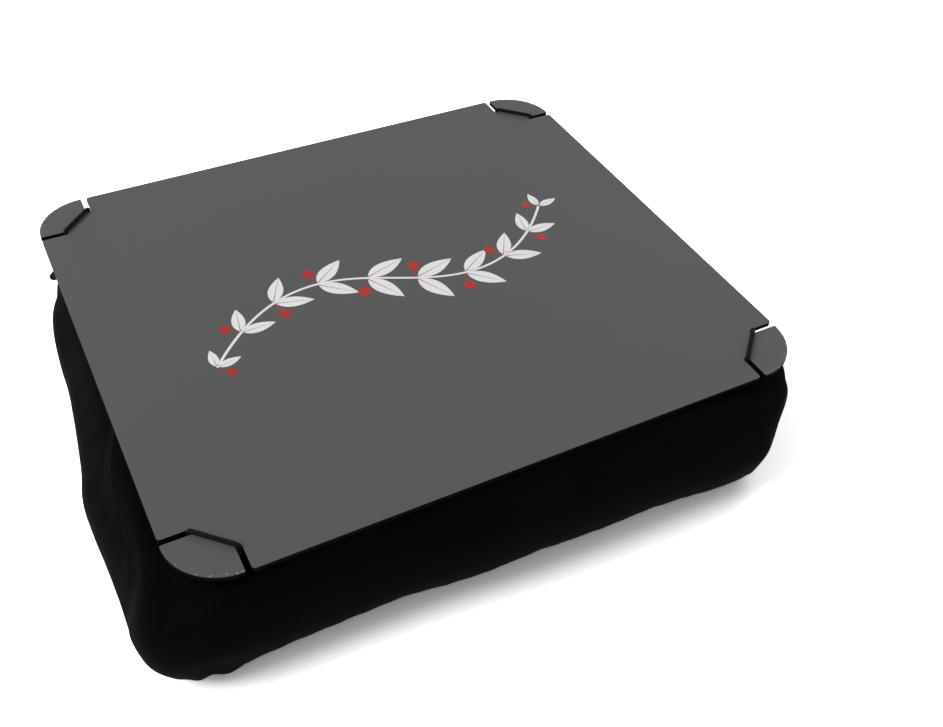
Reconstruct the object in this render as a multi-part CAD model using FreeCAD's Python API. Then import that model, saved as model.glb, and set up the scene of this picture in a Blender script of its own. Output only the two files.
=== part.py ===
import FreeCAD, Part

import math
import os

# Lap tray: a thin board held on a stuffed cushion by an elastic loop over each corner.
# Millimetres, +Z up, +Y to the back. The origin is on the floor, under the board's centre.

# Shared clearances
cut_overrun = 4.0      # how far a cutting block runs past what it cuts
soft_gap = 0.3         # between layers of cloth
run_gap = 0.35         # around the slider, the pull and the elastic

# Board
board_width = 400.0
board_depth = 360.0
board_corner_radius = 34.0
core_thickness = 2.8
film_thickness = 0.2

# Slits, two open ones at each corner of the board
slit_from_corner = 36.5    # board's edge to the slit's centre line
slit_width = 3.7
slit_depth = 18.0
slit_lip_radius = 2.0      # rounded mouth on the board's side
nose_lip_radius = 0.8      # rounded mouth on the corner's side

# Elastic loops
elastic_diameter = 3.0
elastic_bend_radius = 2.3      # on the cord's centre line
elastic_seat_inset = 11.0      # board's edges to the middle of the two sewn ends
elastic_seat_spread = 5.0      # between the two sewn ends
elastic_seat_sink = 1.0        # how far the ends reach below the top seam before they are trimmed

# Cushion: heights, reach past the board's edge, corner radii and bow of the sides
cushion_height = 82.0
bottom_seam_height = 10.0
fullest_height = 38.0
shoulder_height = 58.0
top_seam_drop = 12.0

bottom_flat_inset = 10.0
bottom_seam_reach = 6.0
fullest_reach = 11.0
shoulder_reach = 9.5
top_seam_reach = 5.0
top_flat_inset = 26.0

top_corner_radius = 100.0
bottom_corner_radius = 60.0
band_corner_radius = 34.0

flat_bow = 5.0      # the crowns reach further out between their corners
seam_draw = 2.0     # the seams are drawn in between their corners
band_bow = 3.0      # the band swells between its corners

crown_reach_share = 0.55     # of the way from the flat to the seam, on the crown's shoulder
crown_height_share = 0.55    # of the crown's height, on its shoulder
crown_corner_share = 0.5     # between the seam's corner radius and the flat's

# Cover, inner bag and zipper tape
cover_thickness = 1.2
bag_thickness = 0.6
tape_thickness = 0.6
tape_half_width = 13.0     # zipper's centre line to the tape's outer edge
tape_tail = 6.0            # tape past each end of the opening
zip_end_margin = 8.0       # opening's end to the seam at the corner
zip_opening_height = 12.0

# Zipper teeth and stops
teeth_thickness = 2.0
teeth_width = 2.5          # one row, across the zipper
teeth_root_width = 1.2     # the part of a row that isn't notched
teeth_pitch = 2.5
tooth_length = 1.3         # along the zipper
teeth_split = 1.0          # between the two rows
stop_length = 3.0
stop_overlap = 0.5         # how far a stop stands proud of the teeth

# Slider
slider_length = 11.0
slider_corner_radius = 2.0
slider_plate = 1.2
slider_flange = 0.8
slider_web = 0.3
slider_web_length = 8.0
slider_back_plate = 0.8
slider_back_width = 6.0
arch_width = 1.6
arch_bar = 1.0
arch_leg = 1.0
arch_span = 9.0            # over its two legs
arch_clear = 2.2           # under the arch

# Pull
pull_bar_diameter = 1.4
pull_thickness = 1.5
pull_arm = 1.3             # each side of the pull's window
pull_window_width = 4.2
pull_window_reach = 6.0    # from the pivot to the window's far end
pull_head_reach = 8.0
pull_neck_width = 2.8
pull_length = 48.0         # from the pivot to the tip, along the pull
pull_droop = 39.0          # degrees by which the soft pull hangs below its head
pull_grip_width = 6.6
pull_grip_length = 15.0
pull_grip_thickness = 2.6
pull_grip_corner_radius = 3.0

# Places that follow from the sizes
up = FreeCAD.Vector(0, 0, 1)
backward = FreeCAD.Vector(0, 1, 0)
board_bottom = cushion_height
board_top = board_bottom + core_thickness + film_thickness
top_seam_height = cushion_height - top_seam_drop
elastic_radius = elastic_diameter / 2

back_face = board_depth / 2 + fullest_reach
tape_inset = cover_thickness + soft_gap
tape_face = back_face - tape_inset
teeth_inner = tape_face + soft_gap
teeth_outer = teeth_inner + teeth_thickness
back_plate_outer = tape_face - tape_thickness - 2 * run_gap
back_plate_inner = back_plate_outer - slider_back_plate
bag_inset = back_face - back_plate_inner + run_gap
back_straight_half = board_width / 2 + fullest_reach - band_corner_radius
zip_half = back_straight_half - zip_end_margin
row_inner = teeth_split / 2
row_outer = row_inner + teeth_width


def vector(x, y, z):
    return FreeCAD.Vector(x, y, z)


def block(low, high):
    """A box from its lowest corner to its highest."""
    size = high - low
    return Part.makeBox(size.x, size.y, size.z, low)


def line(start, end):
    return Part.LineSegment(start, end).toShape()


def arc(start, middle, end):
    return Part.Arc(start, middle, end).toShape()


def edges_along(shape, direction):
    """The edges that run along a direction."""
    diagonal_share = math.sqrt(2) / 2

    def lies_along(edge):
        return abs(edge.tangentAt(edge.FirstParameter) * direction) > diagonal_share

    return [edge for edge in shape.Edges if lies_along(edge)]


def save(name, shape):
    """One file for one node, with its solids kept apart."""
    solids = shape.Solids
    out = solids[0] if len(solids) == 1 else Part.makeCompound(solids)
    assert out.isValid(), name
    out.exportStep("parts/" + name + ".step")


# The board


def slit_cutter(base, height):
    """A slit's outline at the origin: its mouth on x = 0, running along +x, the corner on -y."""
    half = slit_width / 2
    round_start = slit_depth - half
    lip = half + slit_lip_radius
    nose = half + nose_lip_radius
    bend_share = 1 - math.sqrt(2) / 2
    points = {
        "mouth_board": vector(0, lip, base),
        "wall_board": vector(slit_lip_radius, half, base),
        "end_board": vector(round_start, half, base),
        "end_nose": vector(round_start, -half, base),
        "wall_nose": vector(nose_lip_radius, -half, base),
        "mouth_nose": vector(0, -nose, base),
        "out_nose": vector(-cut_overrun, -nose, base),
        "out_board": vector(-cut_overrun, lip, base),
    }
    lip_middle = vector(slit_lip_radius * bend_share, half + slit_lip_radius * bend_share, base)
    nose_middle = vector(nose_lip_radius * bend_share, -half - nose_lip_radius * bend_share, base)
    edges = [
        arc(points["mouth_board"], lip_middle, points["wall_board"]),
        line(points["wall_board"], points["end_board"]),
        arc(points["end_board"], vector(slit_depth, 0, base), points["end_nose"]),
        line(points["end_nose"], points["wall_nose"]),
        arc(points["wall_nose"], nose_middle, points["mouth_nose"]),
        line(points["mouth_nose"], points["out_nose"]),
        line(points["out_nose"], points["out_board"]),
        line(points["out_board"], points["mouth_board"]),
    ]
    return Part.Face(Part.Wire(edges)).extrude(up * height)


def corner_place(cutter, side, end):
    """The slit on the board's side edge and the one on its front or back edge, for one corner."""
    on_side = cutter.copy()
    on_side.translate(vector(-board_width / 2, -board_depth / 2 + slit_from_corner, 0))
    diagonal = vector(1, -1, 0)
    on_end = on_side.copy()
    on_end.translate(vector(board_width / 2, board_depth / 2, 0))
    on_end = on_end.mirror(vector(0, 0, 0), diagonal)
    on_end.translate(vector(-board_width / 2, -board_depth / 2, 0))
    pair = [on_side, on_end]
    if side > 0:
        pair = [shape.mirror(vector(0, 0, 0), vector(1, 0, 0)) for shape in pair]
    if end > 0:
        pair = [shape.mirror(vector(0, 0, 0), vector(0, 1, 0)) for shape in pair]
    return pair


def board_layer(base, thickness):
    """One full layer of the board, with its round corners and its eight slits."""
    corner = vector(board_width / 2, board_depth / 2, 0)
    plate = block(up * base - corner, up * (base + thickness) + corner)
    plate = plate.makeFillet(board_corner_radius, edges_along(plate, up))
    cutter = slit_cutter(base - cut_overrun, thickness + 2 * cut_overrun)
    for side in (-1, 1):
        for end in (-1, 1):
            plate = plate.cut(corner_place(cutter, side, end))
    return plate


# The cushion's form


def outline(height, reach, corner, bow):
    """A level ring of the cushion: a straight back, three bowed sides and round corners."""
    half_width = board_width / 2 + reach
    half_depth = board_depth / 2 + reach
    side_radius = (half_depth**2 + bow**2) / (2 * bow)
    front_radius = (half_width**2 + bow**2) / (2 * bow)
    side_centre = vector(-half_width - bow + side_radius, 0, height)
    front_centre = vector(0, -half_depth - bow + front_radius, height)

    back_y = half_depth - corner
    back_x = math.copysign(math.sqrt((side_radius - corner) ** 2 - back_y**2), side_radius)
    back_pivot = vector(side_centre.x - back_x, back_y, height)

    side_swing = abs(side_radius - corner)
    front_swing = abs(front_radius - corner)
    apart = front_centre - side_centre
    span = apart.Length
    along = (side_swing**2 - front_swing**2 + span**2) / (2 * span)
    across = math.sqrt(side_swing**2 - along**2)
    forward = apart / span
    sideways = vector(-forward.y, forward.x, 0)
    square = vector(corner - half_width, corner - half_depth, height)
    choices = [side_centre + forward * along + sideways * across * turn for turn in (-1, 1)]
    front_pivot = min(choices, key=lambda point: (point - square).Length)

    def on_side(pivot):
        return side_centre + (pivot - side_centre).normalize() * abs(side_radius)

    back_start = vector(back_pivot.x, half_depth, height)
    side_back = on_side(back_pivot)
    side_front = on_side(front_pivot)
    front_start = front_centre + (front_pivot - front_centre).normalize() * abs(front_radius)

    def corner_middle(pivot, first, second):
        return pivot + (first + second - pivot * 2).normalize() * corner

    back_middle = corner_middle(back_pivot, back_start, side_back)
    front_middle = corner_middle(front_pivot, side_front, front_start)
    side_middle = vector(-half_width - bow, 0, height)

    def over(point):
        return vector(-point.x, point.y, point.z)

    edges = [
        line(back_start, over(back_start)),
        arc(over(back_start), over(back_middle), over(side_back)),
        arc(over(side_back), over(side_middle), over(side_front)),
        arc(over(side_front), over(front_middle), over(front_start)),
        arc(over(front_start), vector(0, -half_depth - bow, height), front_start),
        arc(front_start, front_middle, side_front),
        arc(side_front, side_middle, side_back),
        arc(side_back, back_middle, back_start),
    ]
    return Part.Wire(edges)


def between(start, end, share):
    return start + (end - start) * share


def crown(flat, seam, inset):
    """A domed panel, from its flat middle out to its seam."""
    flat_height, flat_reach, flat_corner = flat
    seam_height, seam_reach = seam
    levels = [
        (flat_height, flat_reach, flat_corner, flat_bow),
        (
            between(seam_height, flat_height, crown_height_share),
            between(flat_reach, seam_reach, crown_reach_share),
            between(band_corner_radius, flat_corner, crown_corner_share),
            flat_bow,
        ),
        (seam_height, seam_reach, band_corner_radius, -seam_draw),
    ]
    return loft(levels, inset)


def band(inset):
    """The swelling side of the cushion, from its bottom seam to its top seam."""
    levels = [
        (bottom_seam_height, bottom_seam_reach, band_corner_radius, -seam_draw),
        (fullest_height, fullest_reach, band_corner_radius, band_bow),
        (shoulder_height, shoulder_reach, band_corner_radius, band_bow),
        (top_seam_height, top_seam_reach, band_corner_radius, -seam_draw),
    ]
    return loft(levels, inset)


def loft(levels, inset):
    rings = [outline(height, reach - inset, corner - inset, bow) for height, reach, corner, bow in levels]
    return Part.makeLoft(rings, True, False)


def top_crown(inset, sink):
    flat = (cushion_height - sink, -top_flat_inset, top_corner_radius)
    return crown(flat, (top_seam_height, top_seam_reach), inset)


def bottom_crown(inset, lift):
    flat = (lift, -bottom_flat_inset, bottom_corner_radius)
    return crown(flat, (bottom_seam_height, bottom_seam_reach), inset)


def pillow(inset, flat_gap):
    """The whole stuffed form, inset from the cushion's outside."""
    lower = bottom_crown(inset, flat_gap)
    return lower.fuse([band(inset), top_crown(inset, flat_gap)]).removeSplitter()


def back_block(half_length, low, high):
    """A block through the cushion's back wall, between two heights."""
    return block(vector(-half_length, 0, low), vector(half_length, back_face + cut_overrun, high))


# Corner loops


def round_path(points, radius):
    """Straight runs between the points, joined by tangent arcs."""
    edges = []
    start = points[0]
    for before, corner, after in zip(points, points[1:], points[2:]):
        arriving = (corner - before).normalize()
        leaving = (after - corner).normalize()
        turn = arriving.getAngle(leaving)
        reach = radius * math.tan(turn / 2)
        inward = (leaving - arriving).normalize()
        middle = corner + inward * radius * (1 / math.cos(turn / 2) - 1)
        edges.append(line(start, corner - arriving * reach))
        edges.append(arc(corner - arriving * reach, middle, corner + leaving * reach))
        start = corner + leaving * reach
    edges.append(line(start, points[-1]))
    return Part.Wire(edges)


def elastic_loop(side, end):
    """One cord: up a slit, across the corner, down the other slit, its ends trimmed at the cover."""

    def at(from_side, from_end, height):
        return vector(side * (board_width / 2 - from_side), end * (board_depth / 2 - from_end), height)

    slit_seat = slit_depth - slit_width / 2
    over = board_top + run_gap + elastic_radius
    under = board_bottom - run_gap - elastic_radius
    half_spread = elastic_seat_spread / (2 * math.sqrt(2))
    near = elastic_seat_inset - half_spread
    far = elastic_seat_inset + half_spread
    sewn = top_seam_height - elastic_seat_sink
    points = [
        at(near, far, sewn),
        at(slit_seat, slit_from_corner, under),
        at(slit_seat, slit_from_corner, over),
        at(slit_from_corner, slit_seat, over),
        at(slit_from_corner, slit_seat, under),
        at(far, near, sewn),
    ]
    path = round_path(points, elastic_bend_radius)
    section = Part.Wire(Part.makeCircle(elastic_radius, points[0], points[1] - points[0]))
    cord = path.makePipeShell([section], True, False)
    return cord.cut([top_crown(0, 0), band(0)])


# The zipper


def teeth_row(turn):
    """One row of teeth: a bar with its notches towards the zipper's centre line."""
    start = -zip_half + stop_length
    length = 2 * (zip_half - stop_length)
    count = int(length / teeth_pitch)
    gap = length / count - tooth_length
    root = row_outer - teeth_root_width
    step = length / count
    points = [vector(start, teeth_inner, turn * row_outer)]
    for number in range(count):
        tooth = start + step * number
        points.append(vector(tooth, teeth_inner, turn * row_inner))
        points.append(vector(tooth + tooth_length, teeth_inner, turn * row_inner))
        points.append(vector(tooth + tooth_length, teeth_inner, turn * root))
        points.append(vector(tooth + tooth_length + gap, teeth_inner, turn * root))
    points.append(vector(start + length, teeth_inner, turn * row_outer))
    row = Part.Face(Part.makePolygon(points + points[:1])).extrude(vector(0, teeth_thickness, 0))
    row.translate(up * fullest_height)
    return row


def stop(start, low, high):
    """A crimped stop over one end of the teeth."""
    bottom = vector(start, teeth_inner, fullest_height + low)
    top = vector(start + stop_length, teeth_outer + stop_overlap, fullest_height + high)
    return block(bottom, top)


def slider_body(centre):
    """Front plate with its flanges, the web between the rows, the back plate and the pull's arch."""
    half = slider_length / 2
    flange_inner = row_outer + run_gap
    flange_outer = flange_inner + slider_flange
    plate_inner = teeth_outer + run_gap
    plate_outer = plate_inner + slider_plate

    def piece(low_x, high_x, low_y, high_y, low_z, high_z):
        low = vector(centre + low_x, low_y, fullest_height + low_z)
        return block(low, vector(centre + high_x, high_y, fullest_height + high_z))

    plate = piece(-half, half, plate_inner, plate_outer, -flange_outer, flange_outer)
    plate = plate.makeFillet(slider_corner_radius, edges_along(plate, backward))
    flange_half = half - slider_corner_radius
    flange_start = tape_face + soft_gap + run_gap
    upper = piece(-flange_half, flange_half, flange_start, plate_outer, flange_inner, flange_outer)
    lower = piece(-flange_half, flange_half, flange_start, plate_outer, -flange_outer, -flange_inner)
    web_half = slider_web_length / 2
    web = piece(-web_half, web_half, back_plate_inner, plate_outer, -slider_web / 2, slider_web / 2)
    back_half = slider_back_width / 2
    back = piece(-web_half, web_half, back_plate_inner, back_plate_outer, -back_half, back_half)
    arch_half = arch_span / 2
    arch_top = plate_outer + arch_clear + arch_bar
    arch = piece(-arch_half, arch_half, plate_outer, arch_top, -arch_width / 2, arch_width / 2)
    inner_half = arch_half - arch_leg
    hole = piece(-inner_half, inner_half, plate_outer, plate_outer + arch_clear, -arch_width, arch_width)
    return plate.fuse([upper, lower, web, back, arch.cut(hole)]).removeSplitter()


def pull_tab(pivot):
    """A soft tab with a window for the arch, a narrow neck and a rounded grip, pointing along -x and drooping."""

    def slab(start, end, width, thickness):
        low = vector(pivot.x - end, pivot.y - thickness / 2, pivot.z - width / 2)
        return block(low, vector(pivot.x - start, pivot.y + thickness / 2, pivot.z + width / 2))

    head_width = pull_window_width + 2 * pull_arm
    bar_radius = pull_bar_diameter / 2
    head = slab(0, pull_head_reach, head_width, pull_bar_diameter)
    window = slab(bar_radius, pull_window_reach, pull_window_width, pull_thickness + cut_overrun)
    beyond = slab(-cut_overrun, bar_radius, pull_window_width, pull_thickness + cut_overrun)
    head = head.cut([window, beyond])
    bar_start = pivot - up * (head_width / 2)
    bar = Part.makeCylinder(bar_radius, head_width, bar_start, up)
    bend = vector(pivot.x - pull_head_reach, pivot.y, pivot.z)
    bend_start = bend - backward * (pull_thickness / 2)
    knuckle = Part.makeCylinder(pull_neck_width / 2, pull_thickness, bend_start, backward)
    neck = slab(pull_head_reach, pull_length - pull_grip_length / 2, pull_neck_width, pull_thickness)
    grip = slab(pull_length - pull_grip_length, pull_length, pull_grip_width, pull_grip_thickness)
    grip = grip.makeFillet(pull_grip_corner_radius, edges_along(grip, backward))
    tail = neck.fuse([knuckle, grip])
    tail.rotate(bend, backward, -pull_droop)
    return head.fuse([bar, tail]).removeSplitter()


def build():
    os.makedirs("parts", exist_ok=True)

    save("tray_board", board_layer(board_bottom, core_thickness))
    save("top_film", board_layer(board_bottom + core_thickness, film_thickness))

    for end, end_name in ((-1, "front"), (1, "back")):
        for side, side_name in ((-1, "left"), (1, "right")):
            save("elastic_" + end_name + "_" + side_name, elastic_loop(side, end))

    inner = cover_thickness
    save("cover_top_panel", top_crown(0, 0).cut(top_crown(inner, inner)))
    save("cover_bottom_panel", bottom_crown(0, 0).cut(bottom_crown(inner, inner)))
    wall = band(0).cut(band(inner))
    opening_half = zip_opening_height / 2
    opening = back_block(zip_half, fullest_height - opening_half, fullest_height + opening_half)
    back_upper = back_block(back_straight_half, fullest_height, cushion_height)
    back_lower = back_block(back_straight_half, 0, fullest_height)
    save("cover_side_band", wall.cut([back_upper, back_lower]))
    save("cover_zip_band_upper", wall.common(back_upper).cut(opening))
    save("cover_zip_band_lower", wall.common(back_lower).cut(opening))

    tape = band(tape_inset).cut(band(tape_inset + tape_thickness))
    tape_half = zip_half + tape_tail
    tape_low = fullest_height - tape_half_width
    tape_high = fullest_height + tape_half_width
    save("zipper_tape_upper", tape.common(back_block(tape_half, fullest_height + row_inner, tape_high)))
    save("zipper_tape_lower", tape.common(back_block(tape_half, tape_low, fullest_height - row_inner)))
    save("zipper_teeth_upper", teeth_row(1))
    save("zipper_teeth_lower", teeth_row(-1))
    closed_stops = [stop(-zip_half, row_inner, row_outer), stop(-zip_half, -row_outer, -row_inner)]
    save("zipper_top_stops", Part.makeCompound(closed_stops))
    save("zipper_bottom_stop", stop(zip_half - stop_length, -row_outer, row_outer))

    slider_centre = -zip_half + stop_length + run_gap + slider_length / 2
    pivot_y = teeth_outer + run_gap + slider_plate + arch_clear / 2
    save("zipper_slider", slider_body(slider_centre))
    save("zipper_pull", pull_tab(vector(slider_centre, pivot_y, fullest_height)))

    bag_flat = cover_thickness + soft_gap
    fill_inset = bag_inset + bag_thickness + soft_gap
    fill_flat = bag_flat + bag_thickness + soft_gap
    bag_hollow = pillow(bag_inset + bag_thickness, bag_flat + bag_thickness)
    save("inner_bag", pillow(bag_inset, bag_flat).cut(bag_hollow))
    save("fibre_fill", pillow(fill_inset, fill_flat))


build()
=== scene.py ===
import math

import bmesh
import bpy
import numpy as np
from mathutils import Matrix, Vector


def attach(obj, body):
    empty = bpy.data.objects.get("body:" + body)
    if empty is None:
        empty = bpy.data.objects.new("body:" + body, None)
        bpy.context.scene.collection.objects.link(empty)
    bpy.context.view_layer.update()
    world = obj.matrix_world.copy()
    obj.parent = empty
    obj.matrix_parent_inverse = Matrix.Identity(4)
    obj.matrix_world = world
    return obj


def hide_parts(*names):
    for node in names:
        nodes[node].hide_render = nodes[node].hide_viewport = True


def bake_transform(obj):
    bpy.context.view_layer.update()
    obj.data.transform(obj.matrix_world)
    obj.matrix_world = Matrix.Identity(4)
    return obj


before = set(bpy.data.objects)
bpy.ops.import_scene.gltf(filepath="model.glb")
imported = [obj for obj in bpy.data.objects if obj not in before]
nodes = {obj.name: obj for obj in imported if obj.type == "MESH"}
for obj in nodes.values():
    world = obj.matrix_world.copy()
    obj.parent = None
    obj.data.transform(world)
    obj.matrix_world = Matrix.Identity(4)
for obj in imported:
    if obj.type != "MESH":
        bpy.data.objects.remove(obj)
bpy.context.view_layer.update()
scene = bpy.context.scene
chance = np.random.default_rng(11)
MM = 0.001

# Sizes in millimetres, as in the part's source
BOARD = np.array([400.0, 360.0])
BOARD_BOTTOM, BOARD_TOP = 82.0, 85.0
BOARD_CORNER = 34.0
SLIT_FROM_CORNER, SLIT_SEAT = 36.5, 16.15
ELASTIC_RADIUS, RUN_GAP = 1.5, 0.35
SEAT_INSET, SEAT_SPREAD = 11.0, 5.0
TOP_SEAM, BOTTOM_SEAM, ZIP_HEIGHT = 70.0, 10.0, 38.0
ZIP_HALF, ZIP_OPENING = 169.0, 6.0
BACK_STRAIGHT = 177.0
TEETH_INNER, TEETH_OUTER = 189.8, 191.8
SLIDER_X, PIVOT_Y = -160.15, 194.45
SLIDER_PLATE = 1.2
SLIDER_BACK_FACES = (187.4, 188.2)
PULL_HEAD = 8.0
PULL_DROOP = math.radians(39)


# Trees of nodes, for materials and for what repeats


def operator(operation):
    """What a Value does for one operator: it adds a Math node."""
    return lambda value, other: value.owner.maths(operation, value, other)


class Value:
    """A number that varies over a surface. Arithmetic on it adds Math nodes."""

    __add__ = __radd__ = operator("ADD")
    __mul__ = __rmul__ = operator("MULTIPLY")
    __sub__ = operator("SUBTRACT")
    __truediv__ = operator("DIVIDE")
    __pow__ = operator("POWER")
    __gt__ = operator("GREATER_THAN")
    __lt__ = operator("LESS_THAN")

    def __init__(self, owner, socket):
        self.owner, self.socket = owner, socket

    def __rsub__(self, other):
        return self.owner.maths("SUBTRACT", other, self)


class Tree:
    """A tree of nodes. node() adds one and gives back one of its outputs, or a list of those named."""

    def __init__(self, tree):
        self.tree = tree

    def node(self, kind, inputs=None, output=0, **settings):
        made = self.tree.nodes.new(kind)
        for key, value in settings.items():
            setattr(made, key, value)
        for key, value in (inputs or {}).items():
            self.feed(made.inputs[key], value)
        if isinstance(output, tuple):
            return [Value(self, made.outputs[each]) for each in output]
        return Value(self, made.outputs[output])

    def maths(self, operation, *values):
        return self.node("ShaderNodeMath", dict(enumerate(values)), operation=operation)

    def vectors(self, operation, *values, output=0):
        return self.node("ShaderNodeVectorMath", dict(enumerate(values)), output, operation=operation)

    def component(self, vector, axis):
        return self.node("ShaderNodeSeparateXYZ", {0: vector}, axis)

    def triple(self, **parts):
        return self.node("ShaderNodeCombineXYZ", parts)

    def feed(self, socket, value):
        if isinstance(value, (list, tuple)) and value and isinstance(value[0], Value):
            for each in value:
                self.tree.links.new(each.socket, socket)
        elif isinstance(value, Value):
            self.tree.links.new(value.socket, socket)
        else:
            socket.default_value = value


class Finish(Tree):
    """One material on a Principled shader, with constants set on its own sockets."""

    def __init__(self, name, specular, **constants):
        self.material = bpy.data.materials.new(name)
        self.material.use_nodes = True
        super().__init__(self.material.node_tree)
        self.shader = self.tree.nodes["Principled BSDF"]
        self.shader.inputs["Specular IOR Level"].default_value = specular
        for key, value in constants.items():
            self.shader.inputs[key.replace("_", " ")].default_value = value
        self.place = self.node("ShaderNodeTexCoord", output="Object")

    def noise(self, size, detail=2.0, stretch=(1, 1, 1), roughness=0.5):
        """Noise with features of about that size in millimetres."""
        mapped = self.node("ShaderNodeMapping", {"Vector": self.place, "Scale": stretch})
        sizes = {"Vector": mapped, "Scale": 1 / (size * MM), "Detail": detail, "Roughness": roughness}
        return self.node("ShaderNodeTexNoise", sizes)

    def wave(self, direction, scale, distortion=0.0):
        """Bands across a direction, from 0 to 1."""
        sizes = {"Vector": self.place, "Scale": scale, "Distortion": distortion}
        return self.node("ShaderNodeTexWave", sizes, "Fac", bands_direction=direction)

    def mix(self, factor, first, second):
        """A colour between two, each a triple or a value. 6, 7 and 2 are the node's colour sockets."""
        first, second = (each if isinstance(each, Value) else (*each, 1) for each in (first, second))
        return self.node("ShaderNodeMix", {0: factor, 6: first, 7: second}, 2, data_type="RGBA")

    def colour(self, factor, first, second):
        self.feed(self.shader.inputs["Base Color"], self.mix(factor, first, second))

    def rough(self, value):
        self.feed(self.shader.inputs["Roughness"], value)

    def bump(self, height, depth, strength):
        """A bump whose height of 1 stands for depth millimetres."""
        sizes = {"Height": height, "Distance": depth * MM, "Strength": strength}
        self.feed(self.shader.inputs["Normal"], self.node("ShaderNodeBump", sizes))


class Recipe(Tree):
    """A Geometry Nodes tree with named sizes, which ends in one material."""

    def __init__(self, name, **sizes):
        super().__init__(bpy.data.node_groups.new(name, "GeometryNodeTree"))
        self.tree.interface.new_socket("Geometry", in_out="INPUT", socket_type="NodeSocketGeometry")
        self.keys, self.parts = {}, []
        kinds = {int: "NodeSocketInt", float: "NodeSocketFloat"}
        for key, value in sizes.items():
            made = self.tree.interface.new_socket(key, in_out="INPUT", socket_type=kinds[type(value)])
            self.keys[key] = (made.identifier, value)
        self.tree.interface.new_socket("Geometry", in_out="OUTPUT", socket_type="NodeSocketGeometry")
        self.start = self.tree.nodes.new("NodeGroupInput")

    def base(self):
        """What the base object holds."""
        return self.size("Geometry")

    def size(self, key):
        return Value(self, self.start.outputs[key])

    def repeat(self, piece, points, **more):
        """A piece at every point. run() removes the piece itself."""
        self.parts.append(piece)
        shape = self.node("GeometryNodeObjectInfo", {"Object": piece}, "Geometry")
        return self.node("GeometryNodeInstanceOnPoints", {"Points": points, "Instance": shape, **more})

    def sweep(self, curve, outline):
        """An outline drawn along a curve, closed at its ends."""
        sizes = {"Curve": curve, "Profile Curve": outline, "Fill Caps": True}
        return self.node("GeometryNodeCurveToMesh", sizes)

    def end(self, geometry, finish, smooth=True):
        real = self.node("GeometryNodeRealizeInstances", {0: geometry})
        shaded = self.node("GeometryNodeSetShadeSmooth", {"Geometry": real, "Shade Smooth": smooth})
        painted = {"Geometry": shaded, "Material": finish.material}
        out = self.tree.nodes.new("NodeGroupOutput")
        self.feed(out.inputs[0], self.node("GeometryNodeSetMaterial", painted))

    def run(self, name, base):
        """A plain mesh piece of what the tree makes of the base object, which is removed."""
        modifier = base.modifiers.new("recipe", "NODES")
        modifier.node_group = self.tree
        for identifier, value in self.keys.values():
            modifier[identifier] = value
        base.name = name + ".base"
        mesh = evaluated(base)
        for piece in (base, *self.parts):
            bpy.data.objects.remove(piece)
        return link(name, mesh)


# Meshes


def link(name, data):
    piece = bpy.data.objects.new(name, data)
    scene.collection.objects.link(piece)
    return piece


def mesh_piece(name, points, faces, finish=None, smooth=True):
    """A piece from points in millimetres."""
    mesh = bpy.data.meshes.new(name)
    mesh.from_pydata((np.asarray(points) * MM).tolist(), [], faces)
    mesh.polygons.foreach_set("use_smooth", [smooth] * len(mesh.polygons))
    if finish:
        mesh.materials.append(finish.material)
    mesh.update()
    return link(name, mesh)


def curve_piece(name, route, kind, closed=False, order=2, steps=12):
    """A line through points in millimetres, or drawn towards them if its kind is NURBS."""
    data = bpy.data.curves.new(name, "CURVE")
    data.dimensions = "3D"
    line = data.splines.new(kind)
    line.points.add(len(route) - 1)
    for point, place in zip(line.points, route):
        point.co = (*(np.array(place) * MM), 1)
    line.use_cyclic_u = closed
    line.use_endpoint_u = True
    line.order_u = order
    line.resolution_u = steps
    return link(name, data)


def evaluated(piece):
    """The mesh that a piece's modifiers give."""
    bpy.context.view_layer.update()
    graph = bpy.context.evaluated_depsgraph_get()
    return bpy.data.meshes.new_from_object(piece.evaluated_get(graph))


def settle(piece):
    """Makes what the modifiers give the piece's own mesh."""
    mesh = evaluated(piece)
    piece.modifiers.clear()
    piece.data = mesh


def vectors_of(piece, key):
    """A vector for each point of a mesh."""
    flat = np.zeros(len(piece.data.vertices) * 3)
    piece.data.vertices.foreach_get(key, flat)
    return flat.reshape(-1, 3)


def points_of(piece):
    """A mesh's points in millimetres."""
    return vectors_of(piece, "co") / MM


def set_points(piece, points):
    piece.data.vertices.foreach_set("co", (np.asarray(points) * MM).ravel())
    piece.data.update()


def ring_mesh(rings):
    """Points and faces of rings joined by quads, open at both ends."""
    around = len(rings[0])
    faces = []
    for base in range(0, (len(rings) - 1) * around, around):
        for spot in range(around):
            after = (spot + 1) % around
            faces.append((base + spot, base + after, base + around + after, base + around + spot))
    return np.concatenate(rings), faces


def tube(rings):
    """Rings joined by quads and closed at both ends."""
    points, faces = ring_mesh(rings)
    around = len(rings[0])
    return points, faces + [tuple(range(around))[::-1], tuple(range(len(points) - around, len(points)))]


def prism(outline, half):
    """An upright prism on a flat outline, as far above its middle as below."""
    return tube([np.insert(outline, 2, height, axis=1) for height in (-half, half)])


def circle(radius, count):
    """Points around a circle."""
    angles = np.linspace(0, math.tau, count, endpoint=False)
    return radius * np.stack([np.cos(angles), np.sin(angles)], 1)


def flipped(part):
    """The same points and faces, with the faces turned round."""
    points, faces = part
    return points, [face[::-1] for face in faces]


def joined(parts):
    """One set of points and faces from several."""
    points, faces, count = [], [], 0
    for some, more in parts:
        points.append(some)
        faces += [[index + count for index in face] for face in more]
        count += len(some)
    return np.concatenate(points), faces


def ease(value, low, high):
    """0 at low, 1 at high, smooth between."""
    share = np.clip((value - low) / (high - low), 0, 1)
    return share * share * (3 - 2 * share)


def bell(value, width):
    """1 at zero, falling away on both sides."""
    return np.exp(-((value / width) ** 2))


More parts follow.
